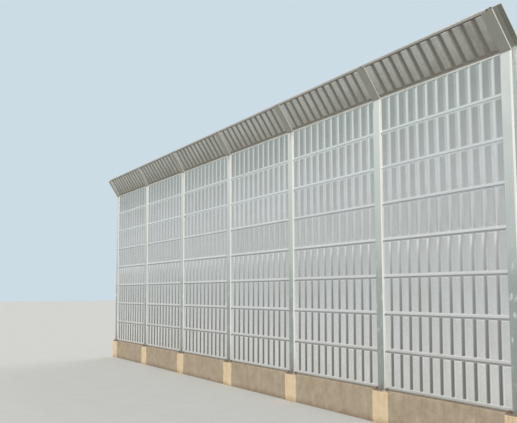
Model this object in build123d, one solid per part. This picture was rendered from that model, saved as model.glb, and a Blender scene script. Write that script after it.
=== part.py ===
from build123d import *
import os
from math import cos, radians, sin, tan

# Highway noise barrier: bent H posts on concrete piers, eight rows of grooved panels
# and one leaning row on top. Millimetres, ground at Z = 0, road on the -Y side,
# the middle post's centre line at X = 0 and Y = 0.

# Run of bays
bay_count = 6
bay_length = 2500

# Fits between the pieces
seat_gap = 0.3
row_gap = 0.5

# Rolled post section and its foot
post_depth = 175
flange_width = 175
web_thickness = 7.5
flange_thickness = 11
root_flat = 6
foot_plate_width = 300
foot_plate_depth = 245
foot_plate_thickness = 20
gusset_reach = 30
gusset_height = 100
gusset_thickness = 10
gusset_nose = 12

# Concrete below the panels
pier_width = 350
pier_depth = 265
pier_chamfer = 10
plinth_thickness = 225
plinth_height = 450
plinth_chamfer = 10
bedding_thickness = 20
bedding_width = 90

# Panels
full_row_count = 7
row_height = 500
top_row_height = 477
panel_thickness = 100
panel_end_clearance = 4
groove_pitch = 200
first_groove_from_flange = 150
groove_width = 74
groove_depth = 12
groove_side_angle = 60
lip_height = 27
lip_proud = 2
seam_height = 22
seam_depth = 14
tongue_width = 40
tongue_height = 16
tongue_clearance = 1

# Leaning row
lean_angle = 32
canopy_height = 500
closure_front_height = 20
cap_sheet = 2
cap_drop = 8

# Packing behind the panels, inside the post channels
packing_width = 40
packing_from_web = 26

# Values worked out from the sizes above
pier_height = plinth_height - foot_plate_thickness
panels_bottom = plinth_height + bedding_thickness
wall_top = panels_bottom + full_row_count * row_height + top_row_height
panel_length = bay_length - web_thickness - 2 * (root_flat + panel_end_clearance)
panel_front = -post_depth / 2 + flange_thickness + seat_gap
panel_back = panel_front + panel_thickness
groove_span = bay_length - flange_width - 2 * first_groove_from_flange
groove_count = 1 + int(groove_span / groove_pitch)
packing_back = post_depth / 2 - flange_thickness
lean = radians(lean_angle)
canopy_start = -panel_front * tan(lean / 2)
bend_height = wall_top + closure_front_height + canopy_start
arm_length = canopy_start + canopy_height
post_positions = [bay_length * (i - bay_count / 2) for i in range(bay_count + 1)]
bay_centres = [(a + b) / 2 for a, b in zip(post_positions, post_positions[1:])]


def on_arm(across, along):
    """Point in the YZ plane, given across and along the leaning arm."""
    y = across * cos(lean) - along * sin(lean)
    z = bend_height + across * sin(lean) + along * cos(lean)
    return y, z


def lean_forward(shape):
    """Turn a shape drawn upright above the bend height onto the leaning arm."""
    return shape.rotate(Axis((0, 0, bend_height), (1, 0, 0)), lean_angle)


def bar_along_x(points, length):
    """Straight bar of a YZ outline, centred on X = 0."""
    outline = make_face(Polyline([(0, y, z) for y, z in points], close=True))
    return extrude(outline, amount=length / 2, both=True, dir=(1, 0, 0))


# Post: one rolled section bent at the top, with its welded foot plate and gussets
def post_section():
    section = Rectangle(flange_width, post_depth)
    side = (flange_width - web_thickness) / 2
    clear = post_depth - 2 * flange_thickness
    for direction in (-1, 1):
        centre = direction * (web_thickness / 2 + side / 2)
        section -= Pos(centre, 0) * Rectangle(side, clear)
    roots = [v for v in section.vertices() if abs(v.X) < web_thickness and abs(v.Y) < clear]
    return chamfer(roots, root_flat)


def gusset(side):
    flange_face = side * post_depth / 2
    tip = flange_face + side * gusset_reach
    low = plinth_height
    points = [
        (flange_face, low),
        (tip, low),
        (tip, low + gusset_nose),
        (flange_face, low + gusset_height),
    ]
    return bar_along_x(points, gusset_thickness)


def post():
    tip = on_arm(0, arm_length)
    path = Polyline((0, 0, plinth_height), (0, 0, bend_height), (0, tip[0], tip[1]))
    section = Pos(0, 0, plinth_height) * post_section()
    shaft = sweep(section, path=path, transition=Transition.RIGHT)
    plate_centre = plinth_height - foot_plate_thickness / 2
    plate = Pos(0, 0, plate_centre) * Box(foot_plate_width, foot_plate_depth, foot_plate_thickness)
    return shaft + plate + gusset(-1) + gusset(1)


# Concrete pier under each post
def pier():
    block = Pos(0, 0, pier_height / 2) * Box(pier_width, pier_depth, pier_height)
    top_edges = block.faces().sort_by(Axis.Z)[-1].edges()
    corners = block.edges().filter_by(Axis.Z)
    return chamfer(top_edges + corners, pier_chamfer)


# Plinth wall between two piers
def plinth_wall():
    length = bay_length - pier_width - 2 * seat_gap
    wall = Pos(0, 0, plinth_height / 2) * Box(length, plinth_thickness, plinth_height)
    top_edges = wall.faces().sort_by(Axis.Z)[-1].edges().filter_by(Axis.X)
    return chamfer(top_edges, plinth_chamfer)


def bedding_strip():
    height = bedding_thickness - 2 * seat_gap
    centre_y = (panel_front + panel_back) / 2
    centre_z = plinth_height + bedding_thickness / 2
    return Pos(0, centre_y, centre_z) * Box(panel_length, bedding_width, height)


# Panel: a cassette with a proud lip along the foot of its face, a slot below, and pressed
# grooves. A whole panel has a shadow step along the top, where the grooves run out, and a
# tongue above it. A panel that is cut to height has neither: its grooves run off the cut
def panel_outline(height, is_whole, has_slot):
    low = row_gap / 2
    high = height - row_gap / 2
    face = panel_front + lip_proud
    middle = (panel_front + panel_back) / 2
    outline = [(panel_front, low), (panel_front, low + lip_height), (face, low + lip_height)]
    if is_whole:
        step_back = panel_front + seam_depth
        step_low = high - seam_height
        outline += [(face, step_low), (step_back, step_low), (step_back, high)]
        for y, z in ((-1, 0), (-1, 1), (1, 1), (1, 0)):
            outline.append((middle + y * tongue_width / 2, high + z * tongue_height))
    else:
        outline.append((face, high))
    outline += [(panel_back, high), (panel_back, low)]
    if has_slot:
        half_slot = tongue_width / 2 + tongue_clearance
        slot_top = low + tongue_height + tongue_clearance
        for y, z in ((1, low), (1, slot_top), (-1, slot_top), (-1, low)):
            outline.append((middle + y * half_slot, z))
    return outline


def groove(height, is_whole):
    low = row_gap / 2 + lip_height
    run_out = groove_depth * tan(radians(groove_side_angle))
    floor_top = height - row_gap / 2
    if is_whole:
        floor_top -= seam_height
    high = floor_top + run_out
    face = Plane(
        origin=(0, panel_front + lip_proud, (low + high) / 2),
        x_dir=(1, 0, 0),
        z_dir=(0, 1, 0),
    )
    mouth = Rectangle(groove_width, high - low)
    return extrude(face * mouth, amount=groove_depth, taper=groove_side_angle)


def panel(height, is_whole, has_slot):
    body = bar_along_x(panel_outline(height, is_whole, has_slot), panel_length)
    one_groove = groove(height, is_whole)
    first = -groove_pitch * (groove_count - 1) / 2
    return body - [Pos(first + groove_pitch * i, 0, 0) * one_groove for i in range(groove_count)]


def wall_panels():
    rows = []
    for row in range(full_row_count):
        low = panels_bottom + row * row_height
        rows.append(Pos(0, 0, low) * panel(row_height, True, row > 0))
    low = panels_bottom + full_row_count * row_height
    rows.append(Pos(0, 0, low) * panel(top_row_height, False, True))
    return rows


def canopy_panel():
    upright = Pos(0, 0, bend_height + canopy_start) * panel(canopy_height, True, False)
    return lean_forward(upright)


# Folded channel that closes the wedge between the wall and the leaning row
def bend_closure():
    low = wall_top + seat_gap
    along = canopy_start - seat_gap
    upper = [on_arm(panel_back, along), on_arm(panel_front, along)]
    return bar_along_x([(panel_front, low), (panel_back, low)] + upper, panel_length)


# Folded cap that sits on the leaning row's tongue, its front leg down into the shadow step
def canopy_cap():
    low = bend_height + canopy_start + canopy_height
    ceiling = low - row_gap / 2 + tongue_height + seat_gap
    points = [
        (panel_front, low - cap_drop),
        (panel_front, ceiling + cap_sheet),
        (panel_back, ceiling + cap_sheet),
        (panel_back, low),
        (panel_back - cap_sheet, low),
        (panel_back - cap_sheet, ceiling),
        (panel_front + cap_sheet, ceiling),
        (panel_front + cap_sheet, low - cap_drop),
    ]
    return lean_forward(bar_along_x(points, panel_length))


# Rubber packing that presses the panels against the front flanges
def packing_strip(end):
    depth = packing_back - panel_back - 2 * seat_gap
    height = wall_top - panels_bottom
    centre_x = bay_length / 2 - web_thickness / 2 - packing_from_web - packing_width / 2
    centre_y = (panel_back + packing_back) / 2
    centre_z = panels_bottom + height / 2
    return Pos(end * centre_x, centre_y, centre_z) * Box(packing_width, depth, height)


def in_every_bay(solids):
    return [Pos(x, 0, 0) * solid for x in bay_centres for solid in solids]


def write(node, solids):
    export_step(Compound(children=solids, label=node), f"parts/{node}.step")


os.makedirs("parts", exist_ok=True)

one_post = post()
one_pier = pier()
for number, x in enumerate(post_positions, start=1):
    write(f"post_{number}", [Pos(x, 0, 0) * one_post])
    write(f"pier_{number}", [Pos(x, 0, 0) * one_pier])

one_plinth = plinth_wall()
one_wall = wall_panels()
one_canopy = canopy_panel()
for number, x in enumerate(bay_centres, start=1):
    write(f"plinth_wall_{number}", [Pos(x, 0, 0) * one_plinth])
    write(f"wall_panels_{number}", [Pos(x, 0, 0) * solid for solid in one_wall])
    write(f"canopy_panel_{number}", [Pos(x, 0, 0) * one_canopy])

write("bedding_strips", in_every_bay([bedding_strip()]))
write("bend_closures", in_every_bay([bend_closure()]))
write("canopy_caps", in_every_bay([canopy_cap()]))
write("packing_strips", in_every_bay([packing_strip(-1), packing_strip(1)]))
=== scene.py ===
import math
import random

import bmesh
import bpy
from mathutils import Matrix, Vector, noise


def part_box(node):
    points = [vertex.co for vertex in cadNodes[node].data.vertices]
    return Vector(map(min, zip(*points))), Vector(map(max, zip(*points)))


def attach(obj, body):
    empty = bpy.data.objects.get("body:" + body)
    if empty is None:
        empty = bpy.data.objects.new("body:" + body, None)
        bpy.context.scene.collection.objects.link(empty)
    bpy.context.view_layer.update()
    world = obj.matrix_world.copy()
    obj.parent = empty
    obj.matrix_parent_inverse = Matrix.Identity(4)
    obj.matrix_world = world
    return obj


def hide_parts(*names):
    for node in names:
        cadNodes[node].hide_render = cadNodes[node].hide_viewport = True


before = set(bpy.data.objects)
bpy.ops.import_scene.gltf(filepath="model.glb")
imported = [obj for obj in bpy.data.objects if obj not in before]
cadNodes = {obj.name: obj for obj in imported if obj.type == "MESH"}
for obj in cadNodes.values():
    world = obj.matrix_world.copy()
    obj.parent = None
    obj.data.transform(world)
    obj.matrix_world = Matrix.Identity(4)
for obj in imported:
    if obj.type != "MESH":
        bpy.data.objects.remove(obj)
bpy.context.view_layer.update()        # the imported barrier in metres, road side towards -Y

random.seed(23)
print("frame loaded")


# Helpers for meshes

def smoothStep(value, low, high):
    t = min(max((value - low) / (high - low), 0), 1)
    return t * t * (3 - 2 * t)


def toMesh(name, bm):
    mesh = bpy.data.meshes.new(name)
    bm.to_mesh(mesh)
    bm.free()
    return mesh


def finishPiece(name, bm, material, replaced=()):
    mesh = toMesh(name, bm)
    mesh.materials.append(material)
    piece = bpy.data.objects.new(name, mesh)
    bpy.context.scene.collection.objects.link(piece)
    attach(piece, "root")
    if replaced:
        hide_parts(*replaced)


def blockBetween(low, high):
    bm = bmesh.new()
    bmesh.ops.create_cube(bm, size=1)
    bmesh.ops.scale(bm, vec=high - low, verts=bm.verts)
    bmesh.ops.translate(bm, vec=(high + low) / 2, verts=bm.verts)
    return bm


def roundEdges(bm, edges, width):
    bmesh.ops.bevel(
        bm, geom=edges, offset=width, offset_type="OFFSET", affect="EDGES", segments=2, profile=0.5,
        material=-1,
    )


def softenEdges(bm, sharpAngle):  # smooth faces, with the real corners left sharp
    for face in bm.faces:
        face.smooth = True
    for edge in bm.edges:
        if len(edge.link_faces) == 2 and edge.calc_face_angle(0) > math.radians(sharpAngle):
            edge.smooth = False


def cutInto(bm, faces, axis, places):  # cuts the given faces at each place along the axis
    direction = Matrix.Identity(3)[axis]
    for place in places:
        chosen = faces(bm)
        edges = dict.fromkeys(e for f in chosen for e in f.edges)
        corners = dict.fromkeys(v for f in chosen for v in f.verts)
        geometry = [*chosen, *edges, *corners]
        bmesh.ops.bisect_plane(bm, geom=geometry, plane_co=direction * place, plane_no=direction)


def liftCorners(bm, lifted, rise):  # moves the new corners of an extrusion straight up
    corners = [v for v in lifted if isinstance(v, bmesh.types.BMVert)]
    bmesh.ops.translate(bm, vec=(0, 0, rise), verts=corners)


def addCopy(bm, mesh, matrix):
    before = set(bm.verts)
    bm.from_mesh(mesh)
    bmesh.ops.transform(bm, matrix=matrix, verts=[v for v in bm.verts if v not in before])


# Helpers for node trees

def tint(red, green, blue):  # 0-255 as it looks on screen, to a linear colour
    return (*(((c / 255 + 0.055) / 1.055) ** 2.4 for c in (red, green, blue)), 1)


def isSocket(value):
    return isinstance(value, bpy.types.NodeSocket)


def put(kind, inputs, **settings):  # outputs of a new node, in the tree of its linked inputs
    tree = next(value.id_data for value in inputs.values() if isSocket(value))
    node = tree.nodes.new("ShaderNode" + kind)
    for key, value in settings.items():
        setattr(node, key, value)
    for key, value in inputs.items():
        if isSocket(value):
            tree.links.new(value, node.inputs[key])
        else:
            node.inputs[key].default_value = value
    return node.outputs


def maths(operation, *values, clamp=False):
    inputs = dict(enumerate(values))
    return put("Math", inputs, operation=operation, use_clamp=clamp)[0]


def chain(operation, values, clamp=False):  # the same step through a row of values
    result = values[0]
    for value in values[1:]:
        result = maths(operation, result, value, clamp=clamp)
    return result


def plus(*values, clamp=False):
    return chain("ADD", values, clamp)


def times(*values):
    return chain("MULTIPLY", values)


def largest(*values):
    return chain("MAXIMUM", values)


def less(first, second):
    return maths("SUBTRACT", first, second)


def unsigned(value):
    return maths("ABSOLUTE", value)


def around(value, half):  # the value repeated between -half and half
    return maths("WRAP", value, half, -half)


def span(value, low, high, toLow=0.0, toHigh=1.0):  # soft change between two values
    inputs = {"Value": value, "From Min": low, "From Max": high, "To Min": toLow, "To Max": toHigh}
    return put("MapRange", inputs, interpolation_type="SMOOTHSTEP")[0]


def between(value, rise, fall):  # a band with a soft start and a soft end
    return times(span(value, *rise), span(value, *fall))


def mix(mask, first, second, mode="MIX"):
    inputs = {0: mask, 6: first, 7: second}
    return put("Mix", inputs, data_type="RGBA", blend_type=mode)[2]


def stretch(vector, scale=(1, 1, 1), shift=(0, 0, 0)):
    inputs = {"Vector": vector, "Scale": scale, "Location": shift}
    return put("Mapping", inputs)[0]


def perMetre(size):
    return maths("DIVIDE", 1.0, size) if isSocket(size) else 1 / size


def cloud(vector, size, detail=3.0, roughness=0.55):  # noise whose lumps are about size across
    inputs = {"Vector": vector, "Scale": perMetre(size), "Detail": detail, "Roughness": roughness}
    return put("TexNoise", inputs)["Fac"]


def sway(vector, size, detail, reach):  # noise that swings to both sides of nothing
    return times(less(cloud(vector, size, detail), 0.5), reach)


def cells(vector, size):
    return put("TexVoronoi", {"Vector": vector, "Scale": perMetre(size)})


def split(vector):
    return put("SeparateXYZ", {0: vector})


def join(x, y, z=0.0):
    return put("CombineXYZ", {0: x, 1: y, 2: z})[0]


def ladder(value, stops):  # a colour for each place on the way from 0 to 1
    ramp = put("ValToRGB", {0: value})[0]
    bands = ramp.node.color_ramp.elements
    while len(bands) < len(stops):
        bands.new(0.5)
    for band, (place, *colour) in zip(bands, stops):
        band.position = place
        band.color = tint(*colour)
    return ramp


def shadeOver(colour, *parts):  # darkens or brightens a colour by the sum of the parts
    shade = plus(*parts)
    return mix(1.0, colour, join(shade, shade, shade), "MULTIPLY")


def newGroup(name, inputs, outputs):  # an input is a number, or None for a vector
    tree = bpy.data.node_groups.new(name, "ShaderNodeTree")
    for label, value in inputs.items():
        kind = "NodeSocketVector" if value is None else "NodeSocketFloat"
        socket = tree.interface.new_socket(label, in_out="INPUT", socket_type=kind)
        if value is not None:
            socket.default_value = value
    for label in outputs:
        kind = "NodeSocketColor" if label == "Colour" else "NodeSocketFloat"
        tree.interface.new_socket(label, in_out="OUTPUT", socket_type=kind)
    return tree.nodes.new("NodeGroupInput").outputs, tree.nodes.new("NodeGroupOutput").inputs


def giveOut(out, **results):  # joins the results to the group's outputs and gives back the group
    for label, value in results.items():
        group = value.id_data
        group.links.new(value, out[label])
    return group


def useGroup(group, **inputs):
    return put("Group", inputs, node_tree=group)


def newMaterial(name, specular, ior=1.5):
    material = bpy.data.materials.new(name)
    material.use_nodes = True
    nodes = material.node_tree.nodes
    nodes["Principled BSDF"].inputs["Specular IOR Level"].default_value = specular
    nodes["Principled BSDF"].inputs["IOR"].default_value = ior
    return material, nodes.new("ShaderNodeTexCoord").outputs["Object"]


def dress(material, colour, roughness, height=None, distance=0.001, metallic=None):
    shader = material.node_tree.nodes["Principled BSDF"].inputs
    ends = {"Base Color": colour, "Roughness": roughness, "Metallic": metallic}
    if height is not None:
        ends["Normal"] = put("Bump", {"Height": height, "Distance": distance})[0]
    for key, value in ends.items():
        if value is not None:
            material.node_tree.links.new(value, shader[key])
    return material


def roughen(look, wear):  # the finish's own roughness, and more where it is worn or dirty
    return plus(look["rough"], times(wear, look["dirtRough"]), clamp=True)


# Where the barrier's forms lie, as in the CAD

wallLow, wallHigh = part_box("wall_panels_1")
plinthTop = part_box("plinth_wall_1")[1].z
barrier = {
    "posts": 7, "panelsBottom": 0.47, "rowHeight": 0.5, "fullRows": 7,
    "topRowHeight": 0.477, "rowGap": 0.0005,
    "lean": math.radians(32), "bendHeight": 4.48885, "canopyStart": 0.02185, "canopyHeight": 0.5,
    "bayLength": 2.5, "flangeFace": 0.0875, "flangeHalf": 0.0875,
}
pressing = {
    "lipHeight": 0.027, "lipProud": 0.002, "lipRound": 0.003, "lipUndercut": 0.0018,
    "lipStep": (-0.001, 0.002), "lipRoundCuts": (0.33, 0.67, 1), "lipStepCuts": (-0.001, 0, 0.001),
    "groovePitch": 0.2, "grooveHalfCount": 5, "grooveHalfWidth": 0.037,
    "grooveDepth": 0.012, "grooveSlope": 0.0208,
    "grooveSlopeCuts": (0, 0.2, 0.4, 0.6, 0.8, 1),
    "grooveCorner": 0.016, "grooveEndAboveLip": 0.002,
    "seamHeight": 0.022, "seamDepth": 0.014, "seamRound": 0.003, "seamCuts": (-0.5, -0.2, 0, 0.2, 0.5),
    "tongueWidth": 0.04, "tongueHeight": 0.016,
    "backRound": 0.004, "sharpAngle": 55,
}
postNumbers = range(1, barrier["posts"] + 1)
bayNumbers = range(1, barrier["posts"])
postPlaces = [sum(corner.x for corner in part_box(f"post_{n}")) / 2 for n in postNumbers]
bayPlaces = [(a + b) / 2 for a, b in zip(postPlaces, postPlaces[1:])]
panelMiddle = (wallHigh.y + wallLow.y) / 2
facePlane = wallLow.y + pressing["lipProud"]
hair = 0.001  # reach for telling which corners lie on a face


# Effects that several finishes share

def blotchGroup():
    inputs = {"Vector": None, "Size": 0.3, "Low": 0.45, "High": 0.6}
    given, out = newGroup("Blotches", inputs, ["Mask"])
    broad = cloud(given["Vector"], given["Size"], detail=5.0, roughness=0.5)
    return giveOut(out, Mask=span(broad, given["Low"], given["High"]))


streaks = {
    "runScale": (26, 26, 0.9), "threadScale": (90, 90, 3.5), "threadShift": (3, 1, 7),
    "runShare": 0.7, "threadShare": 0.3,
}


def streakGroup():  # thin marks that rain leaves running down
    given, out = newGroup("RainStreaks", {"Vector": None, "Low": 0.52, "High": 0.72}, ["Mask"])
    long = stretch(given["Vector"], streaks["runScale"])
    fine = stretch(given["Vector"], streaks["threadScale"], streaks["threadShift"])
    run = cloud(long, 1.0, roughness=0.5)
    thread = cloud(fine, 1.0, detail=2.0, roughness=0.5)
    both = plus(times(run, streaks["runShare"]), times(thread, streaks["threadShare"]))
    return giveOut(out, Mask=span(both, given["Low"], given["High"]))


def grimeGroup():  # road dirt, thickest near the ground
    given, out = newGroup("RoadGrime", {"Vector": None, "Top": 1.6, "Bottom": 0.3}, ["Mask"])
    uneven = sway(stretch(given["Vector"], (1, 1, 0.5)), 0.25, 6.0, 1.6)
    ragged = plus(split(given["Vector"])[2], uneven)
    return giveOut(out, Mask=span(ragged, given["Top"], given["Bottom"]))


def punchGroup():  # staggered round holes, across and up
    inputs = {"Across": 0.0, "Up": 0.0, "Pitch": 0.008, "Hole": 0.3}
    given, out = newGroup("PunchedHoles", inputs, ["Holes"])
    flat = join(given["Across"], given["Up"])
    turned = put("Mapping", {"Vector": flat, "Rotation": (0, 0, math.radians(45))})[0]
    inputs = {"Vector": turned, "Scale": perMetre(given["Pitch"]), "Randomness": 0.0}
    distance = put("TexVoronoi", inputs, voronoi_dimensions="2D")["Distance"]
    return giveOut(out, Holes=span(distance, plus(given["Hole"], 0.06), given["Hole"]))


def spangleGroup():  # the flake pattern of hot-dip zinc
    given, out = newGroup("ZincSpangle", {"Vector": None, "Size": 0.012}, ["Tone", "Height"])
    warp = cloud(given["Vector"], 0.02, detail=2.0)
    bent = put("VectorMath", {0: given["Vector"], 1: join(warp, warp, warp)}, operation="ADD")[0]
    flake = cells(bent, given["Size"])
    return giveOut(out, Tone=split(flake["Color"])[0], Height=flake["Distance"])


rustLook = {
    "stops": [(0.3, 92, 60, 38), (0.55, 140, 92, 56), (0.75, 176, 128, 84)],
    "bloomSize": 0.03, "grainSize": 0.006, "edge": (0.62, 0.8),
}


def rustGroup():  # rust that blooms inside a mask, with its own colour
    given, out = newGroup("RustBloom", {"Vector": None, "Spread": 0.5}, ["Colour", "Mask"])
    coarse = cloud(given["Vector"], rustLook["bloomSize"], detail=8.0, roughness=0.7)
    level = plus(coarse, times(given["Spread"], 0.5))
    grain = cloud(given["Vector"], rustLook["grainSize"], detail=4.0)
    mask = times(span(level, *rustLook["edge"]), given["Spread"])
    return giveOut(out, Colour=ladder(grain, rustLook["stops"]), Mask=mask)


# where each form of a pressed panel begins and ends in its finish, in metres
zones = {
    "back": (0.03, 0.035), "lip": (0.034, 0.03),
    "seamAboveStart": (-0.002, 0.001), "underLipAboveSeam": (0.009, 0.014),
    "grooveFoot": (0.03, 0.048), "sunSideShade": ((-0.045, -0.035), (-0.008, -0.02)),
    "lastGroove": (1.08, 1.07), "flatAside": (0.04, 0.043), "flatFrom": (0.037, 0.041),
    "flatBelowSeam": (-0.012, -0.016), "flatDepth": (0.0015, 0.0006),
    "holePitch": 0.0085, "holeSize": 0.27,
}


def sheetGroup():  # finds the lip, seam, grooves and punched flats of a pressed panel
    inputs = {
        "Across": 0.0, "Out": 0.0, "Up": 0.0, "SeamFrom": 0.478, "Aside": 0.0, "Reach": 0.025,
        "Soft": 0.013,
    }
    outputs = ["Groove", "SunSide", "Lip", "Seam", "UnderLip", "Holes", "Back"]
    given, out = newGroup("PressedSheet", inputs, outputs)
    across = given["Across"]
    up = given["Up"]
    depth = less(given["Out"], facePlane)
    behind = span(depth, *zones["back"])
    front = less(1.0, behind)
    aboveSeam = less(up, given["SeamFrom"])
    seam = span(aboveSeam, *zones["seamAboveStart"])
    lip = span(up, *zones["lip"])
    underLip = span(aboveSeam, *zones["underLipAboveSeam"])
    # where shade and reflection are painted in each groove, soft at both sides, and the strip beside it,
    # which takes painted shade on its sunlit side
    half = pressing["groovePitch"] / 2
    fromShade = unsigned(around(less(across, given["Aside"]), half))
    pastShade = less(fromShade, given["Reach"])
    shade = span(pastShade, given["Soft"], times(given["Soft"], -1.0))
    inRun = span(unsigned(across), *zones["lastGroove"])
    bare = less(1.0, largest(seam, lip))
    within = times(inRun, front, bare, span(up, *zones["grooveFoot"]))
    fromMiddle = around(across, half)
    sunSideShade = between(fromMiddle, *zones["sunSideShade"])
    # the flats between the grooves, which are punched
    clearSide = largest(span(unsigned(fromMiddle), *zones["flatAside"]), less(1.0, inRun))
    flat = times(
        span(up, *zones["flatFrom"]), span(aboveSeam, *zones["flatBelowSeam"]),
        span(depth, *zones["flatDepth"]), clearSide,
    )
    punched = useGroup(
        punch, Across=across, Up=up, Pitch=zones["holePitch"], Hole=zones["holeSize"],
    )["Holes"]
    return giveOut(
        out, Groove=times(shade, within), SunSide=times(sunSideShade, within),
        Lip=times(lip, front), Seam=times(seam, front),
        UnderLip=times(underLip, front), Holes=times(punched, flat), Back=behind,
    )


blotches = blotchGroup()
rainStreaks = streakGroup()
roadGrime = grimeGroup()
punch = punchGroup()
spangle = spangleGroup()
rustBloom = rustGroup()
pressedSheet = sheetGroup()
print("effects ready")


# The shared effects, each with its settings in the order that the looks below give them

def patches(place, size, low, high, share=1.0):
    return times(useGroup(blotches, Vector=place, Size=size, Low=low, High=high)["Mask"], share)


def rainMarks(place, low, high, share):
    return times(useGroup(rainStreaks, Vector=place, Low=low, High=high)["Mask"], share)


def grimeUpTo(place, top, bottom, share):
    return times(useGroup(roadGrime, Vector=place, Top=top, Bottom=bottom)["Mask"], share)


def addRust(place, colour, spread):
    rust = useGroup(rustBloom, Vector=place, Spread=spread)
    return mix(rust["Mask"], colour, rust["Colour"]), rust["Mask"]


def acrossBay(x):  # distance from the middle of the bay
    return around(less(x, bayPlaces[0]), barrier["bayLength"] / 2)


def armSpace(place):  # coordinates that lean with the canopy
    inputs = {"Vector": place, "Location": (0, 0, barrier["bendHeight"])}
    inputs["Rotation"] = (barrier["lean"], 0, 0)
    return put("Mapping", inputs, vector_type="TEXTURE")[0]


def panelTone(vector, size):  # a slightly different tone for every panel
    whole = put("VectorMath", {0: stretch(vector, size)}, operation="FLOOR")[0]
    return put("TexWhiteNoise", {"Vector": whole})["Value"]


# Finish of the wall panels: colours change with the height, 0 at the foot and 1 at the top

wallLook = {
    "stops": {
        # painted shade: the flats darken towards the top, under the leaning row
        "Flat": [
            (0.06, 230, 232, 231), (0.19, 217, 219, 219), (0.32, 206, 210, 210), (0.45, 202, 206, 207),
            (0.58, 197, 202, 203), (0.7, 188, 193, 195), (0.83, 179, 185, 186), (0.95, 162, 170, 170),
        ],
        # painted reflection in the grooves: dark low down, pale high up
        "Groove": [
            (0.06, 97, 98, 97), (0.19, 114, 116, 115), (0.32, 127, 131, 131), (0.45, 166, 169, 170),
            (0.58, 198, 203, 203), (0.7, 207, 213, 213), (0.83, 210, 217, 217), (0.95, 211, 221, 218),
        ],
        "Lip": [
            (0.1, 191, 192, 190), (0.35, 201, 204, 204), (0.5, 209, 212, 213),
            (0.65, 205, 208, 210), (0.78, 205, 212, 212), (0.9, 201, 211, 208),
        ],
        # painted shade in the seam recess, darkest low down
        "Seam": [
            (0.1, 162, 163, 162), (0.3, 164, 166, 168), (0.5, 165, 168, 171),
            (0.63, 176, 180, 184), (0.76, 199, 204, 209), (0.9, 198, 208, 209),
        ],
        # painted shade under each lip low down, and a painted highlight there high up
        "UnderLip": [
            (0.1, 171, 172, 171), (0.3, 175, 177, 178), (0.5, 181, 184, 187),
            (0.63, 200, 205, 208), (0.76, 236, 241, 244), (0.9, 240, 246, 246),
        ],
    },
    # painted shade on the groove side that faces the key light, in the middle rows
    "sunSideShade": tint(168, 172, 173), "sunSideShadeRows": ((0.49, 0.53), (0.68, 0.6)),
    "hole": tint(66, 68, 66), "holeShare": 0.6,
    "endHighlight": tint(250, 248, 240), "endHighlightWidth": (0.017, 0.013), "endHighlightShare": (0.35, 0.9, 0.4, 1.0),
    "back": tint(176, 180, 178),
    "drift": (0.7, 3.0, 0.12),  # size, detail and reach of the uneven height
    "shadeAside": [(0.44, 0.52, -0.011, 0.033), (0.0, 0.33, -0.009, 0.0), (0.55, 0.95, 0.0, -0.011)],
    "shadeReach": (0.44, 0.52, 0.024, 0.03),
    "dirt": tint(150, 140, 122), "splash": (1.5, 0.2, 0.22), "streak": (0.5, 0.75, 0.2),
    "streakFade": (0.1, 0.5), "film": (0.5, 0.42, 0.7, 0.07),
    "smudge": tint(126, 108, 84), "smudgePatches": (0.06, 0.45, 0.65, 0.55),
    "smudgeAside": (1.1, 1.17), "smudgeHeight": 0.49, "smudgeReach": (0.05, 0.0),
    "level": 0.965, "toneReach": 0.06, "fleck": (0.015, 2.0),
    "fleckReach": (0.0, 1.0, 0.56, 0.16),  # on the punched front, and on the back
    "calmShare": 0.6,  # how far lip and grooves are as calm as the back
    "rough": 0.78, "rubbed": 0.3, "dirtRough": 0.4,
    "waves": 1.4, "skin": 0.06, "holeRelief": 0.8,
}


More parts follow.
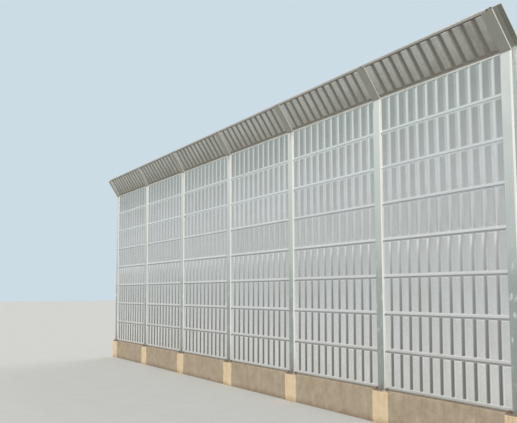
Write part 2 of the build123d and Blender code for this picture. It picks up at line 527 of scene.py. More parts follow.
def makeWallSheet(look):
    material, place = newMaterial("wallSheet", specular=0.3, ior=1.46)
    x, y, z = split(place)
    bottom = barrier["panelsBottom"]
    row = barrier["rowHeight"]
    rowUp = maths("WRAP", less(z, bottom), row, 0.0)
    topRowFrom = bottom + barrier["fullRows"] * row
    isTopRow = span(z, topRowFrom, topRowFrom + 0.0002)
    seamFrom = plus(isTopRow, row - pressing["seamHeight"])  # out of reach on the cut row
    across = acrossBay(x)
    inputs = {"Value": z, "From Min": bottom, "From Max": topRowFrom + barrier["topRowHeight"]}
    height = put("MapRange", inputs)[0]
    aside = plus(*[span(height, *change) for change in look["shadeAside"]])
    sheet = useGroup(
        pressedSheet, Across=across, Out=y, Up=rowUp, SeamFrom=seamFrom, Aside=aside,
        Reach=span(height, *look["shadeReach"]),
    )
    sunSideShadeRows = between(height, *look["sunSideShadeRows"])
    height = plus(height, sway(place, *look["drift"]))
    # painted shade: the flats darken towards the top, under the leaning row
    colour = ladder(height, look["stops"]["Flat"])
    # the holes are not cut: their dark colour is painted shade of the space behind
    colour = mix(times(sheet["Holes"], look["holeShare"]), colour, look["hole"])
    # painted shade over the sunlit side of each groove
    colour = mix(times(sheet["SunSide"], sunSideShadeRows), colour, look["sunSideShade"])
    # grooves with painted reflection, lips, seams with painted shade, and under each lip painted shade and
    # highlight, each by height
    for form in ("Groove", "Lip", "Seam", "UnderLip"):
        colour = mix(sheet[form], colour, ladder(height, look["stops"][form]))
    # painted highlight along the end of each panel, beside the post's flange edge, as of sunlight on it
    pastFlange = less(across, barrier["flangeHalf"] - barrier["bayLength"] / 2)
    endHighlight = times(span(pastFlange, *look["endHighlightWidth"]), span(height, *look["endHighlightShare"]))
    colour = mix(endHighlight, colour, look["endHighlight"])
    colour = mix(sheet["Back"], colour, look["back"])
    # dirt: splashes low down, streaks from each joint, a film of dust
    splash = grimeUpTo(place, *look["splash"])
    streak = times(rainMarks(place, *look["streak"]), span(rowUp, *look["streakFade"]))
    dirty = plus(splash, streak, patches(place, *look["film"]), clamp=True)
    colour = mix(dirty, colour, look["dirt"])
    # brown smudges where the joints meet the posts
    atPost = span(unsigned(across), *look["smudgeAside"])
    fromJoint = unsigned(less(rowUp, look["smudgeHeight"]))
    atJoint = span(fromJoint, *look["smudgeReach"])
    smudge = times(atPost, atJoint, patches(place, *look["smudgePatches"]))
    colour = mix(smudge, colour, look["smudge"])
    # flecks and a tone of its own for each panel
    pressed = largest(sheet["Lip"], sheet["Groove"])
    calm = largest(sheet["Back"], times(pressed, look["calmShare"]))
    fleck = sway(place, *look["fleck"], span(calm, *look["fleckReach"]))
    tone = panelTone(stretch(place, shift=(0.0, 0.0, -bottom)), (0.4, 0, 2))
    colour = shadeOver(colour, look["level"], fleck, times(tone, look["toneReach"]))
    rough = less(look["rough"], times(pressed, look["rubbed"]))
    rough = plus(rough, times(dirty, look["dirtRough"]), clamp=True)
    # bump: punched holes and the faint waves of thin sheet
    waves = cloud(stretch(place, (1, 1, 0.6)), 0.22, detail=1.0)
    skin = cloud(place, 0.0015, detail=1.0)
    relief = plus(times(waves, look["waves"]), times(skin, look["skin"]))
    relief = less(relief, times(sheet["Holes"], look["holeRelief"]))
    return dress(material, colour, rough, relief)


# Finish of the leaning row

canopyLook = {
    "flat": tint(204, 205, 198), "hole": tint(60, 60, 57), "holeShare": 0.6,
    "groove": tint(114, 115, 109), "grooveReach": 0.039, "grooveSoft": 0.02,
    "lip": tint(166, 165, 158), "lipFootHighlight": tint(222, 221, 215), "lipFootHighlightBand": (0.014, 0.004),
    "aboveLipShadeAndDirt": tint(104, 103, 98), "aboveLipShadeAndDirtBand": ((0.012, 0.025), (0.056, 0.036)),
    "aboveLipShadeAndDirtShare": 0.92, "seam": tint(135, 133, 127), "back": tint(170, 172, 168),
    "dirt": tint(128, 122, 112), "film": (0.35, 0.4, 0.68), "filmShare": 0.18, "streak": (0.48, 0.72, 0.2),
    "darkerTowardsBend": (0.4, 0.02, 0.0, 0.38),
    "darkerEnd": (6.7, 7.2),  # the darker end, along the run
    "darkerEndShares": (0.16, 0.2), "level": 0.95, "toneReach": 0.08,
    "fleck": (0.03, 4.0), "fleckReach": (0.0, 1.0, 0.6, 0.2),
    "rough": 0.7, "dirtRough": 0.25, "waves": 1.4, "holeRelief": 0.8,
}


def makeCanopySheet(look):
    material, place = newMaterial("canopySheet", specular=0.25, ior=1.46)
    leaning = armSpace(place)
    x, out, along = split(leaning)
    up = less(along, barrier["canopyStart"])
    sheet = useGroup(
        pressedSheet, Across=acrossBay(x), Out=out, Up=up, Aside=0.0,
        SeamFrom=barrier["canopyHeight"] - pressing["seamHeight"], Reach=look["grooveReach"],
        Soft=look["grooveSoft"],
    )
    # the holes are not cut: their dark colour is painted shade of the space behind
    colour = mix(times(sheet["Holes"], look["holeShare"]), look["flat"], look["hole"])
    # painted shade in the grooves
    colour = mix(sheet["Groove"], colour, look["groove"])
    # the lip is painted darker with shade, with a painted highlight along its foot
    lip = mix(span(up, *look["lipFootHighlightBand"]), look["lip"], look["lipFootHighlight"])
    colour = mix(sheet["Lip"], colour, lip)
    # painted shade in the seam
    colour = mix(sheet["Seam"], colour, look["seam"])
    colour = mix(sheet["Back"], colour, look["back"])
    front = less(1.0, sheet["Back"])
    # a band just above the lip, darker with painted shade and dirt
    aboveLipShadeAndDirt = times(between(up, *look["aboveLipShadeAndDirtBand"]), front, look["aboveLipShadeAndDirtShare"])
    colour = mix(aboveLipShadeAndDirt, colour, look["aboveLipShadeAndDirt"])
    film = patches(leaning, *look["film"])
    plainDarkening, filmDarkening = look["darkerEndShares"]
    darkerEnd = times(span(x, *look["darkerEnd"]), plus(plainDarkening, times(film, filmDarkening)))
    # the leaning row is also made darker towards the bend
    dirty = plus(
        times(film, look["filmShare"]), rainMarks(leaning, *look["streak"]),
        span(up, *look["darkerTowardsBend"]), darkerEnd, clamp=True,
    )
    colour = mix(dirty, colour, look["dirt"])
    fleck = sway(leaning, *look["fleck"], span(sheet["Back"], *look["fleckReach"]))
    tone = times(panelTone(place, (0.4, 0, 0)), look["toneReach"])
    colour = shadeOver(colour, look["level"], fleck, tone)
    waves = times(cloud(leaning, 0.22, detail=1.0), look["waves"])
    relief = less(waves, times(sheet["Holes"], look["holeRelief"]))
    return dress(material, colour, roughen(look, dirty), relief)


# Finish of the closures in the bend and the caps on top

foldLook = {
    "stops": [(0.3, 200, 201, 196), (0.7, 211, 212, 207)],
    "cap": tint(178, 175, 167), "capFrom": (4.7, 4.75),
    "dirt": tint(150, 144, 130), "film": (0.3, 0.4, 0.7, 0.3), "streak": (0.5, 0.7, 0.25),
    "rough": 0.42, "dirtRough": 0.5, "bump": 0.0012,
}


def makeFoldSheet(look):
    material, place = newMaterial("foldSheet", specular=0.5, ior=1.46)
    base = ladder(cloud(place, 0.004), look["stops"])
    isCap = span(split(place)[2], *look["capFrom"])
    # the caps are painted darker than the closures: painted shade
    base = mix(isCap, base, look["cap"])
    dirty = plus(patches(place, *look["film"]), rainMarks(place, *look["streak"]), clamp=True)
    colour = mix(dirty, base, look["dirt"])
    waves = cloud(stretch(place, (1, 2, 2)), 0.15, detail=2.0)
    return dress(material, colour, roughen(look, dirty), waves, look["bump"])


# Finish of the posts

postLook = {
    # painted reflection: darker low down, paler high up
    "stops": [
        (0.0, 150, 156, 152), (0.22, 154, 161, 157), (0.35, 164, 171, 167), (0.45, 188, 195, 191),
        (0.62, 196, 202, 198), (0.85, 213, 218, 214), (1.0, 219, 222, 217),
    ],
    "stopsFrom": 0.5, "stopsOver": 4.0,  # height of the first stop, and from there to the last
    "drift": (0.35, 6.0, 0.3), "flakeSize": 0.016,
    "reflectionPatch": tint(206, 212, 207), "reflectionPatchForm": (0.09, 0.55, 0.66),
    "reflectionPatchBand": ((0.7, 1.3), (2.6, 1.9)), "reflectionPatchShares": (0.75, 0.12),
    "arm": tint(150, 150, 141), "armFrom": (0.0, 0.03),
    "fleck": (0.03, 4.0, 0.4), "level": 0.95, "toneReach": 0.1,
    # painted highlight on the flange edges and on the strip beside them
    "edge": tint(250, 248, 240), "highlightSide": (0.5, 0.9), "highlightIn": (-0.005, -0.002),
    "highlightShare": (-0.01, 0.04, 0.95, 0.8),  # on the shaft, and on the arm
    "highlightStripIn": (-0.031, -0.008), "highlightStripSoft": (0.0, 0.006), "highlightStripDepth": (0.0, -0.03),
    "dirt": tint(120, 112, 96), "grime": (1.1, 0.35, 0.35), "streak": (0.5, 0.7, 0.16),
    "rustWeld": (0.03, 0.0, 0.0, 0.4), "rustRun": ((-0.4, 0.0), (0.03, 0.0)),
    "rustStreak": (0.45, 0.62, 0.7), "rustFoot": (0.08, -0.01, 0.0, 0.525),
    "rough": 0.4, "toneRough": 0.14, "dirtRough": 0.4, "metal": 0.25,
    "flakeRelief": 0.25, "waves": 0.8, "rustRelief": 0.8, "bump": 0.0006,
}


def makePostZinc(look):
    material, place = newMaterial("postZinc", specular=0.5)
    x, y, z = split(place)
    flake = useGroup(spangle, Vector=place, Size=look["flakeSize"])
    height = maths("DIVIDE", less(z, look["stopsFrom"]), look["stopsOver"])
    # painted reflection: darker low down, paler high up
    colour = ladder(plus(height, sway(place, *look["drift"])), look["stops"])
    # pale patches of painted reflection, as on wavy zinc, mostly on the lower half
    reflectionPatches = patches(stretch(place, (1, 1, 0.55)), *look["reflectionPatchForm"])
    inBand, everywhere = look["reflectionPatchShares"]
    share = plus(times(between(z, *look["reflectionPatchBand"]), inBand), everywhere)
    colour = mix(times(reflectionPatches, share), colour, look["reflectionPatch"])
    # the leaning arm is painted darker, with painted shade as under the canopy and the canopy's dirt
    leaning = armSpace(place)
    armAcross, along = split(leaning)[1:]
    onArm = span(along, *look["armFrom"])
    colour = mix(onArm, colour, look["arm"])
    fleck = times(sway(leaning, *look["fleck"]), onArm)
    colour = shadeOver(colour, look["level"], fleck, times(flake["Tone"], look["toneReach"]))
    # painted highlights: on the flanges' side faces, and in a strip beside them on the road side
    normal = material.node_tree.nodes.new("ShaderNodeNewGeometry").outputs["Normal"]
    sideways = unsigned(split(normal)[0])
    aside = around(x, barrier["bayLength"] / 2)
    fromEdge = less(unsigned(aside), barrier["flangeHalf"])
    rim = times(span(sideways, *look["highlightSide"]), span(fromEdge, *look["highlightIn"]))
    shaftIn, armIn = look["highlightStripIn"]
    highlightStripFrom = span(along, *look["armFrom"], shaftIn, armIn)
    beyond = less(less(aside, barrier["flangeHalf"]), highlightStripFrom)
    depth = plus(y, times(less(armAcross, y), onArm))
    strip = times(span(beyond, *look["highlightStripSoft"]), span(depth, *look["highlightStripDepth"]))
    rim = times(largest(rim, strip), span(along, *look["highlightShare"]))
    colour = mix(rim, colour, look["edge"])
    # grime and rain marks
    dirty = plus(grimeUpTo(place, *look["grime"]), rainMarks(place, *look["streak"]), clamp=True)
    colour = mix(dirty, colour, look["dirt"])
    # rust at the weld in the bend, in runs below it and at the foot
    mitre = less(less(z, barrier["bendHeight"]), times(y, math.tan(barrier["lean"] / 2)))
    atWeld = span(unsigned(mitre), *look["rustWeld"])
    runDown = times(between(mitre, *look["rustRun"]), rainMarks(place, *look["rustStreak"]))
    atFoot = span(less(z, plinthTop), *look["rustFoot"])
    colour, rusty = addRust(place, colour, largest(atWeld, runDown, atFoot))
    worn = largest(rusty, dirty)
    rough = plus(roughen(look, worn), times(flake["Tone"], look["toneRough"]), clamp=True)
    metal = times(less(1.0, worn), look["metal"])
    relief = plus(
        times(flake["Height"], look["flakeRelief"]),
        times(cloud(place, 0.05), look["waves"]), times(rusty, look["rustRelief"]),
    )
    return dress(material, colour, rough, relief, look["bump"], metal)


# Finish of the bolts and the welds

boltLook = {
    "stops": [(0.2, 138, 140, 136), (0.8, 172, 174, 170)],
    "flakeSize": 0.006, "dirt": tint(118, 108, 92), "film": (0.02, 0.45, 0.6), "filmShare": 0.4,
    "rust": 0.75, "rough": 0.38, "dirtRough": 0.4, "metal": 0.7, "bump": 0.0003,
}
weldLook = {
    "stops": [(0.35, 120, 112, 98), (0.65, 164, 162, 152)],
    "rust": 0.4, "rough": 0.45, "dirtRough": 0.35, "metal": 0.4, "bump": 0.0005,
}


def makeBoltZinc(look):
    material, place = newMaterial("boltZinc", specular=0.5)
    flake = useGroup(spangle, Vector=place, Size=look["flakeSize"])
    base = ladder(flake["Tone"], look["stops"])
    film = patches(place, *look["film"])
    colour = mix(times(film, look["filmShare"]), base, look["dirt"])
    colour, rusty = addRust(place, colour, look["rust"])
    rough = roughen(look, largest(film, rusty))
    metal = times(less(1.0, rusty), look["metal"])
    return dress(material, colour, rough, cloud(place, 0.003), look["bump"], metal)


def makeWeldMetal(look):
    material, place = newMaterial("weldMetal", specular=0.5)
    base = ladder(cloud(place, 0.012, detail=5.0), look["stops"])
    colour, rusty = addRust(place, base, look["rust"])
    metal = times(less(1.0, rusty), look["metal"])
    return dress(material, colour, roughen(look, rusty), cloud(place, 0.004), look["bump"], metal)


# Finishes of concrete, mortar and rubber

pierLook = {
    "stops": [(0.25, 206, 184, 150), (0.5, 222, 200, 165), (0.75, 232, 214, 184)],
    "damp": tint(150, 130, 104), "stain": tint(172, 130, 92), "stoneSize": 0.014,
}
plinthLook = {
    "stops": [(0.25, 150, 134, 114), (0.5, 172, 156, 134), (0.75, 190, 177, 158)],
    "damp": tint(120, 106, 88), "stain": tint(140, 116, 90), "stoneSize": 0.02,
}
concreteLook = {
    "broadShare": 0.7, "grainShare": 0.3,
    "stoneStops": [(0.0, 128, 118, 104), (1.0, 214, 204, 188)],
    "stoneForm": ((0.72, 0.78), (0.45, 0.3)), "stoneShare": 0.4,
    "pitsPerStone": 2.2, "pitForm": ((0.86, 0.92), (0.35, 0.2)), "pitShare": 0.4,
    "dampHeight": (0.22, 0.1), "dampUneven": 0.22, "dampShare": 0.6,
    "streak": (0.5, 0.66, 0.4), "streakHeight": (0.1, 0.46),
    "rough": 0.82, "dirtRough": 0.12,
    "grainRelief": 0.9, "broadRelief": 1.2, "stoneRelief": 0.3, "bump": 0.002,
}
mortarLook = {
    "stops": [(0.3, 128, 120, 108), (0.6, 160, 153, 142), (0.8, 178, 172, 160)],
    "dirt": tint(116, 106, 92), "film": (0.08, 0.45, 0.65), "filmShare": 0.5,
    "rough": 0.85, "dirtRough": 0.1, "bump": 0.003,
}
rubberLook = {
    "stops": [(0.3, 48, 48, 46), (0.7, 66, 66, 62)],
    "dust": tint(120, 114, 100), "film": (0.05, 0.45, 0.7), "filmShare": 0.35,
    "ribPitch": 0.008, "ribRelief": 0.5, "rough": 0.7, "dirtRough": 0.2,
}


def scattered(place, size, picked, form):  # round marks on some cells, and a tone for each cell
    spots = cells(place, size)
    pick, tone = split(spots["Color"])[:2]
    return times(span(pick, *picked), span(spots["Distance"], *form)), tone


def makeConcrete(name, own):
    look = concreteLook
    material, place = newMaterial(name, specular=0.25)
    z = split(place)[2]
    broad = cloud(place, 0.16, detail=8.0, roughness=0.62)
    grain = cloud(place, 0.006, detail=6.0, roughness=0.7)
    tone = plus(times(broad, look["broadShare"]), times(grain, look["grainShare"]))
    colour = ladder(tone, own["stops"])
    # stones that show through the skin, and pits between them
    stones, stoneTone = scattered(place, own["stoneSize"], *look["stoneForm"])
    stoneTone = ladder(stoneTone, look["stoneStops"])
    colour = mix(times(stones, look["stoneShare"]), colour, stoneTone)
    pits = scattered(place, own["stoneSize"] / look["pitsPerStone"], *look["pitForm"])[0]
    # the pits are painted darker in the damp colour: painted shade in them
    colour = mix(times(pits, look["pitShare"]), colour, own["damp"])
    # damp at the ground and stains from the top
    uneven = times(cloud(place, 0.12, detail=6.0), look["dampUneven"])
    damp = span(plus(z, uneven), *look["dampHeight"])
    colour = mix(times(damp, look["dampShare"]), colour, own["damp"])
    run = times(rainMarks(place, *look["streak"]), span(z, *look["streakHeight"]))
    colour = mix(run, colour, own["stain"])
    relief = plus(
        times(grain, look["grainRelief"]), times(broad, look["broadRelief"]),
        times(stones, look["stoneRelief"]),
    )
    return dress(material, colour, roughen(look, grain), less(relief, pits), look["bump"])


def makeMortar(look):
    material, place = newMaterial("mortarBed", specular=0.2)
    grain = cloud(place, 0.008, detail=6.0, roughness=0.7)
    film = patches(place, *look["film"])
    colour = mix(times(film, look["filmShare"]), ladder(grain, look["stops"]), look["dirt"])
    return dress(material, colour, roughen(look, film), grain, look["bump"])


def makeRubber(look):
    material, place = newMaterial("packingRubber", specular=0.35)
    turns = times(split(place)[0], 2 * math.pi / look["ribPitch"])
    ribs = times(maths("SINE", turns), look["ribRelief"])
    grain = cloud(place, 0.004)
    dust = patches(place, *look["film"])
    colour = mix(times(dust, look["filmShare"]), ladder(grain, look["stops"]), look["dust"])
    return dress(material, colour, roughen(look, dust), plus(ribs, grain))


wallSheet = makeWallSheet(wallLook)
canopySheet = makeCanopySheet(canopyLook)
foldSheet = makeFoldSheet(foldLook)
postZinc = makePostZinc(postLook)
boltZinc = makeBoltZinc(boltLook)
weldMetal = makeWeldMetal(weldLook)
pierConcrete = makeConcrete("pierConcrete", pierLook)
plinthRender = makeConcrete("plinthRender", plinthLook)
mortarBed = makeMortar(mortarLook)
packingRubber = makeRubber(rubberLook)
print("finishes ready")


# CAD nodes that stay, with their finish and the width of their softened edges

kept = {
    "bend_closures": (foldSheet, 0.002),
    "canopy_caps": (foldSheet, 0.0006),
    "bedding_strips": (mortarBed, 0.004),
    "packing_strips": (packingRubber, 0.003),
}
kept.update({f"post_{number}": (postZinc, 0.002) for number in postNumbers})
softening = {"weldReach": 0.00005, "segments": 2, "smallestAngle": math.radians(35)}
for name, (material, width) in kept.items():
    node = cadNodes[name]
    node.data.materials.clear()
    node.data.materials.append(material)
    joined = node.modifiers.new("joinCorners", "WELD")
    joined.merge_threshold = softening["weldReach"]
    soften = node.modifiers.new("edgeRound", "BEVEL")
    soften.width = width
    soften.segments = softening["segments"]
    soften.limit_method = "ANGLE"
    soften.angle_limit = softening["smallestAngle"]
    soften.harden_normals = True
print("posts, folds, bedding and packing dressed")


# Pressed panels

def sheetDepth(across, up, top, isWhole):  # how far the front lies behind the lip's plane
    p = pressing
    lipFrom, lipTo = (p["lipHeight"] + t for t in p["lipStep"])
    depth = p["lipUndercut"] * (1 - smoothStep(up, 0, p["lipRound"]))
    depth += p["lipProud"] * smoothStep(up, lipFrom, lipTo)
    last = p["grooveHalfCount"]
    number = max(-last, min(last, round(across / p["groovePitch"])))
    fromSide = p["grooveHalfWidth"] - abs(across - number * p["groovePitch"])
    fromEnd = up - p["lipHeight"] - p["grooveEndAboveLip"]
    corner = p["grooveCorner"]
    inside = min(fromSide, fromEnd)
    if max(fromSide, fromEnd) < corner:
        inside = corner - math.hypot(corner - fromSide, corner - fromEnd)
    depth += p["grooveDepth"] * smoothStep(inside, 0, p["grooveSlope"])
    if not isWhole:
        return depth
    seamFrom = top - p["seamHeight"]
    intoSeam = smoothStep(up, seamFrom - p["seamRound"] / 2, seamFrom + p["seamRound"] / 2)
    return depth + (p["seamDepth"] - depth) * intoSeam


def raiseTongue(bm, top):
    half = pressing["tongueWidth"] / 2

    def topFaces(bm):
        return [f for f in bm.faces if f.normal.z > 0.5 and f.calc_center_median().z > top - hair]

    cutInto(bm, topFaces, 1, (panelMiddle - half, panelMiddle + half))
    strip = [f for f in topFaces(bm) if abs(f.calc_center_median().y - panelMiddle) < half]
    liftCorners(bm, bmesh.ops.extrude_face_region(bm, geom=strip)["geom"], pressing["tongueHeight"])
    bmesh.ops.delete(bm, geom=strip, context="FACES_ONLY")


def pressedPanel(height, isWhole, hasTongue=False):
    p = pressing
    top = height - barrier["rowGap"]
    halfLength = (wallHigh.x - wallLow.x) / 2
    bm = blockBetween(Vector((-halfLength, wallLow.y, 0)), Vector((halfLength, wallHigh.y, top)))

    def isLongBackEdge(edge):
        a, b = (v.co for v in edge.verts)
        return min(a.y, b.y) > wallHigh.y - hair and abs(a.x - b.x) > halfLength

    def front(bm):
        return [f for f in bm.faces if f.normal.y < -0.5]

    roundEdges(bm, [e for e in bm.edges if isLongBackEdge(e)], p["backRound"])
    slope = [t * p["grooveSlope"] for t in p["grooveSlopeCuts"]]
    sides = [side * (p["grooveHalfWidth"] - t) for t in slope for side in (-1, 1)]
    grooves = range(-p["grooveHalfCount"], p["grooveHalfCount"] + 1)
    columns = sorted(i * p["groovePitch"] + side for i in grooves for side in sides)
    rows = [p["lipRound"] * t for t in p["lipRoundCuts"]]
    rows += [p["lipHeight"] + t for t in p["lipStepCuts"]]
    rows += [p["lipHeight"] + p["grooveEndAboveLip"] + t for t in slope]
    if isWhole:
        rows += [top - p["seamHeight"] + p["seamRound"] * t for t in p["seamCuts"]]
    cutInto(bm, front, 2, rows)
    cutInto(bm, front, 0, columns)
    for vertex in {v for f in front(bm) for v in f.verts}:
        vertex.co.y += sheetDepth(vertex.co.x, vertex.co.z, top, isWhole)
    if hasTongue:
        bm.normal_update()
        raiseTongue(bm, top)
    bmesh.ops.translate(bm, vec=(0, 0, barrier["rowGap"] / 2), verts=bm.verts)
    bm.normal_update()
    softenEdges(bm, p["sharpAngle"])
    return toMesh("pressedPanel", bm)


fullPanel = pressedPanel(barrier["rowHeight"], True)
topPanel = pressedPanel(barrier["topRowHeight"], False)
canopyPanel = pressedPanel(barrier["canopyHeight"], True, hasTongue=True)
bend = Matrix.Translation((0, 0, barrier["bendHeight"]))
leanTurn = bend @ Matrix.Rotation(barrier["lean"], 4, "X") @ bend.inverted()
for number, bay in zip(bayNumbers, bayPlaces):
    stack = bmesh.new()
    for row in range(barrier["fullRows"] + 1):
        height = barrier["panelsBottom"] + row * barrier["rowHeight"]
        mesh = fullPanel if row < barrier["fullRows"] else topPanel
        addCopy(stack, mesh, Matrix.Translation((bay, 0, height)))
    finishPiece(f"pressed_panels_{number}", stack, wallSheet, [f"wall_panels_{number}"])
    canopy = bmesh.new()
    upright = Matrix.Translation((bay, 0, barrier["bendHeight"] + barrier["canopyStart"]))
    addCopy(canopy, canopyPanel, leanTurn @ upright)
    finishPiece(f"pressed_canopy_{number}", canopy, canopySheet, [f"canopy_panel_{number}"])
for mesh in (fullPanel, topPanel, canopyPanel):
    bpy.data.meshes.remove(mesh)
print("panels pressed")


# Rough concrete

concrete = {
    "chamfer": 0.01, "cell": 0.022,
    "roughness": 0.0022, "lumpsPerMetre": 9, "lumpLayers": 5, "mostLump": 1.4,
    "chip": 0.009, "chipReach": 0.028, "chipsPerMetre": 14, "chipNoise": (0.18, 0.5),
    "onTop": 0.15, "sharpAngle": 70,
    "seedStep": (3.7, 1.9, 5.3), "plinthSeed": 20,
}


def roughBlock(name, node, material, allCorners, seed):
    low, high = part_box(node)
    bm = blockBetween(low, high)

    def isCorner(edge):
        a, b = (v.co for v in edge.verts)
        onTop = min(a.z, b.z) > high.z - hair
        upright = abs(a.z - b.z) > 0.1
        alongX = abs(a.x - b.x) > 0.1
        return (onTop or upright) if allCorners else (onTop and alongX)

    def everything(bm):
        return list(bm.faces)

    roundEdges(bm, [e for e in bm.edges if isCorner(e)], concrete["chamfer"])
    for axis in range(3):
        size = high[axis] - low[axis]
        count = max(2, round(size / concrete["cell"]))
        cutInto(bm, everything, axis, [low[axis] + size * i / count for i in range(1, count)])
    bm.normal_update()
    shift = Vector([seed * step for step in concrete["seedStep"]])
    moves = []
    for vertex in bm.verts:
        if vertex.co.z < low.z + hair:
            continue
        place = vertex.co + shift
        lumps = noise.fractal(place * concrete["lumpsPerMetre"], 1.0, 2.0, concrete["lumpLayers"])
        amount = concrete["roughness"] * min(max(lumps * 0.5 + 0.5, 0), concrete["mostLump"])
        reach = [min(vertex.co[a] - low[a], high[a] - vertex.co[a]) for a in range(2)]
        reach.append(high.z - vertex.co.z)
        nearEdge = 1 - smoothStep(sorted(reach)[1], 0, concrete["chipReach"])
        bite = smoothStep(noise.noise(place * concrete["chipsPerMetre"]), *concrete["chipNoise"])
        amount += concrete["chip"] * nearEdge * bite
        if vertex.normal.z > 0.9:
            amount *= concrete["onTop"]
        moves.append((vertex, vertex.normal * -amount))
    for vertex, move in moves:
        vertex.co += move
    softenEdges(bm, concrete["sharpAngle"])
    finishPiece(name, bm, material, [node])


for number in postNumbers:
    roughBlock(f"cast_pier_{number}", f"pier_{number}", pierConcrete, True, number)
for number in bayNumbers:
    seed = concrete["plinthSeed"] + number
    node = f"plinth_wall_{number}"
    roughBlock(f"cast_plinth_{number}", node, plinthRender, False, seed)
print("concrete cast")


# Anchor bolts on the foot plates

anchor = {
    "across": 0.115, "deep": 0.0975,
    "studRadius": 0.01, "studAbove": 0.034, "studTip": 0.0015,
    "threadPitch": 0.0025, "threadDepth": 0.001,
    "nutAcross": 0.03, "nutHeight": 0.016, "nutRound": 0.0016,
    "washerRadius": 0.0175, "washerHeight": 0.003, "washerRound": 0.0005,
    "sides": 18, "sharpAngle": 30,
}


def spinRound(bm, profile):  # turns a profile of (radius, height) once round Z
    start = [bm.verts.new((radius, 0, height)) for radius, height in profile]
    edges = [bm.edges.new(pair) for pair in zip(start, start[1:])]
    bmesh.ops.spin(
        bm, geom=start + edges, cent=(0, 0, 0), axis=(0, 0, 1), dvec=(0, 0, 0), angle=2 * math.pi,
        steps=anchor["sides"], use_merge=True, use_duplicate=False,
    )


def anchorBolt():
    a = anchor
    bm = bmesh.new()
    rim = a["washerRadius"]
    low = a["washerHeight"]
    spinRound(bm, [(0, 0), (rim, 0), (rim, low * 0.8), (rim - a["washerRound"], low), (0, low)])
    z = low + a["nutHeight"]
    stud = [(0, low), (a["studRadius"], low), (a["studRadius"], z)]
    while z < a["studAbove"] - 2 * a["threadPitch"]:
        stud.append((a["studRadius"] - a["threadDepth"], z + a["threadPitch"] / 2))
        z += a["threadPitch"]
        stud.append((a["studRadius"], z))
    stud += [(a["studRadius"] - a["studTip"], a["studAbove"]), (0, a["studAbove"])]
    spinRound(bm, stud)
    radius = a["nutAcross"] / math.sqrt(3)
    nut = bmesh.ops.create_circle(bm, cap_ends=True, segments=6, radius=radius)["verts"]
    bmesh.ops.translate(bm, vec=(0, 0, low), verts=nut)
    underside = next(f for f in bm.faces if len(f.verts) == 6)
    lifted = bmesh.ops.extrude_face_region(bm, geom=[underside], use_keep_orig=True)["geom"]
    liftCorners(bm, lifted, a["nutHeight"])
    roundEdges(bm, [e for e in lifted if isinstance(e, bmesh.types.BMEdge)], a["nutRound"])
    bmesh.ops.remove_doubles(bm, verts=bm.verts, dist=0.00001)
    bmesh.ops.recalc_face_normals(bm, faces=bm.faces)
    softenEdges(bm, a["sharpAngle"])
    return toMesh("anchorBolt", bm)


oneBolt = anchorBolt()
for number, post in zip(postNumbers, postPlaces):
    four = bmesh.new()
    for side in (-1, 1):
        for face in (-1, 1):
            spot = (post + side * anchor["across"], face * anchor["deep"], plinthTop)
            turn = Matrix.Rotation(random.uniform(0, math.pi / 3), 4, "Z")
            addCopy(four, oneBolt, Matrix.Translation(spot) @ turn)
    finishPiece(f"anchor_bolts_{number}", four, boltZinc)
bpy.data.meshes.remove(oneBolt)
print("anchor bolts set")


# Weld beads at the bend and round the foot

weld = {
    "radius": 0.0042, "ripple": 0.006, "sides": 8,
    "endSize": 0.5, "rippleSize": 0.86, "uneven": (0.95, 1.05),
    "bendSize": 0.8, "gussetSize": 0.9,
    "atFace": 0.001, "plateFrom": 0.008,
    "gussetAside": 0.006, "gussetOut": 0.003, "gussetReach": 0.026, "gussetHeight": 0.09,
    "sharpAngle": 80,
}


def weldBead(bm, start, end, size=1):
    run = end - start
    radius = weld["radius"] * size
    count = max(3, round(run.length / weld["ripple"] * 2))
    turn = run.to_track_quat("Z", "Y").to_matrix().to_4x4()
    ring = bmesh.ops.create_circle(
        bm, cap_ends=True, segments=weld["sides"], radius=radius * weld["endSize"],
    )["verts"]
    bmesh.ops.transform(bm, matrix=Matrix.Translation(start) @ turn, verts=ring)
    face = ring[0].link_faces[0]
    for step in range(1, count + 1):
        face = bmesh.ops.extrude_discrete_faces(bm, faces=[face])["faces"][0]
        centre = start + run * ((step - 1) / count)
        wide = weld["endSize"] if step == count else 1 if step % 2 else weld["rippleSize"]
        grow = radius * wide * random.uniform(*weld["uneven"]) / (face.verts[0].co - centre).length
        bmesh.ops.translate(bm, vec=run / count, verts=face.verts)
        fromCentre = Matrix.Translation(-(centre + run / count))
        bmesh.ops.scale(bm, vec=(grow,) * 3, space=fromCentre, verts=face.verts)


def postWelds(bm, x):
    w = weld
    half = barrier["flangeHalf"]
    low = plinthTop + w["atFace"]
    for side in (-1, 1):
        face = side * barrier["flangeFace"]
        z = barrier["bendHeight"] + face * math.tan(barrier["lean"] / 2)
        weldBead(bm, Vector((x - half, face, z)), Vector((x + half, face, z)), w["bendSize"])
        out = face + side * w["atFace"]
        for away in (-1, 1):
            outer = Vector((x + away * (half - w["atFace"]), out, low))
            weldBead(bm, Vector((x + away * w["plateFrom"], out, low)), outer)
            root = Vector((x + away * w["gussetAside"], face, plinthTop))
            root += Vector((0, side * w["gussetOut"], w["gussetOut"]))
            weldBead(bm, root, root + Vector((0, side * w["gussetReach"], 0)))
            top = root + Vector((0, -side * w["atFace"], w["gussetHeight"]))
            weldBead(bm, root, top, w["gussetSize"])


for number, post in zip(postNumbers, postPlaces):
    beads = bmesh.new()
    postWelds(beads, post)
    bmesh.ops.remove_doubles(beads, verts=beads.verts, dist=0.000001)
    openEnds = [e for e in beads.edges if e.is_boundary]
    bmesh.ops.holes_fill(beads, edges=openEnds, sides=weld["sides"])
    bmesh.ops.recalc_face_normals(beads, faces=beads.faces)
    softenEdges(beads, weld["sharpAngle"])
    finishPiece(f"weld_beads_{number}", beads, weldMetal)
print("welds laid")


# Floor, light and camera

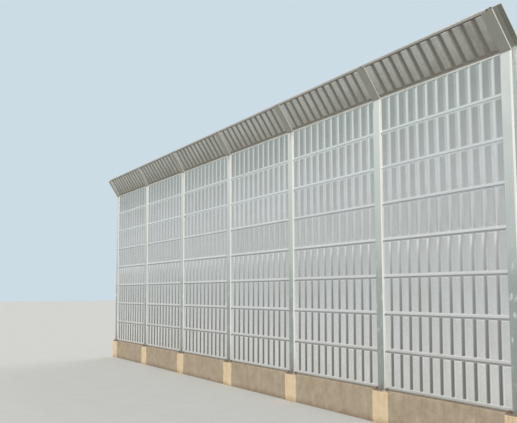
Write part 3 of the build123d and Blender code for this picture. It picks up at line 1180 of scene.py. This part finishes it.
stageLook = {
    "floorHalf": 160,
    "paper": [(0.3, 206, 206, 202), (0.7, 210, 210, 206)],
    "paperGrain": 0.4, "paperRough": 0.85,
    "sky": tint(204, 220, 229), "skyLight": tint(225, 225, 223),
    "skyStrength": 0.74,
    "suns": {"keyLight": ((0.45, -0.7, 0.6), 1.9), "fillLight": ((-0.5, 0.75, 0.6), 0.7)},
    "softness": math.radians(40),
}
view = {
    "place": (13.95277, -6.45761, 1.77658),
    "turn": math.radians(63.28150), "pitch": math.radians(5.83585),
    "roll": math.radians(-0.231533),
    "lens": 54.73, "sensor": 36, "farthest": 500,
}
stage = bpy.context.scene


def hang(name, data, turn):
    holder = bpy.data.objects.new(name, data)
    holder.rotation_mode = "QUATERNION"
    holder.rotation_quaternion = turn
    stage.collection.objects.link(holder)
    return holder


bm = bmesh.new()
bmesh.ops.create_grid(bm, x_segments=8, y_segments=8, size=stageLook["floorHalf"])
floor = bpy.data.objects.new("floor", toMesh("floor", bm))
stage.collection.objects.link(floor)
floorPaper, place = newMaterial("floorPaper", specular=0.1)
grain = cloud(place, stageLook["paperGrain"], detail=4.0)
paper = ladder(grain, stageLook["paper"])
dress(floorPaper, paper, plus(stageLook["paperRough"], times(grain, 0.1)))
floor.data.materials.append(floorPaper)

stage.world = bpy.data.worlds.new("studio")
stage.world.use_nodes = True
tree = stage.world.node_tree
background = tree.nodes["Background"].inputs
ray = tree.nodes.new("ShaderNodeLightPath").outputs
seen = largest(ray["Is Camera Ray"], ray["Is Glossy Ray"], ray["Is Transmission Ray"])
tree.links.new(mix(seen, stageLook["skyLight"], stageLook["sky"]), background["Color"])
skyStrength = stageLook["skyStrength"]
strength = plus(times(seen, 1 - skyStrength), skyStrength)
tree.links.new(strength, background["Strength"])

for name, (direction, energy) in stageLook["suns"].items():
    sun = bpy.data.lights.new(name, "SUN")
    sun.energy = energy
    sun.angle = stageLook["softness"]
    hang(name, sun, Vector(direction).to_track_quat("Z", "Y"))

camera = bpy.data.cameras.new("camera")
camera.lens = view["lens"]
camera.sensor_width = view["sensor"]
camera.clip_end = view["farthest"]
upright = Matrix.Rotation(view["turn"], 4, "Z") @ Matrix.Rotation(math.pi / 2 + view["pitch"], 4, "X")
rolled = upright @ Matrix.Rotation(view["roll"], 4, "Z")
stage.camera = hang("camera", camera, rolled.to_quaternion())
stage.camera.location = view["place"]
stage.view_settings.view_transform = "Standard"
print("stage set")

bpy.context.view_layer.update()
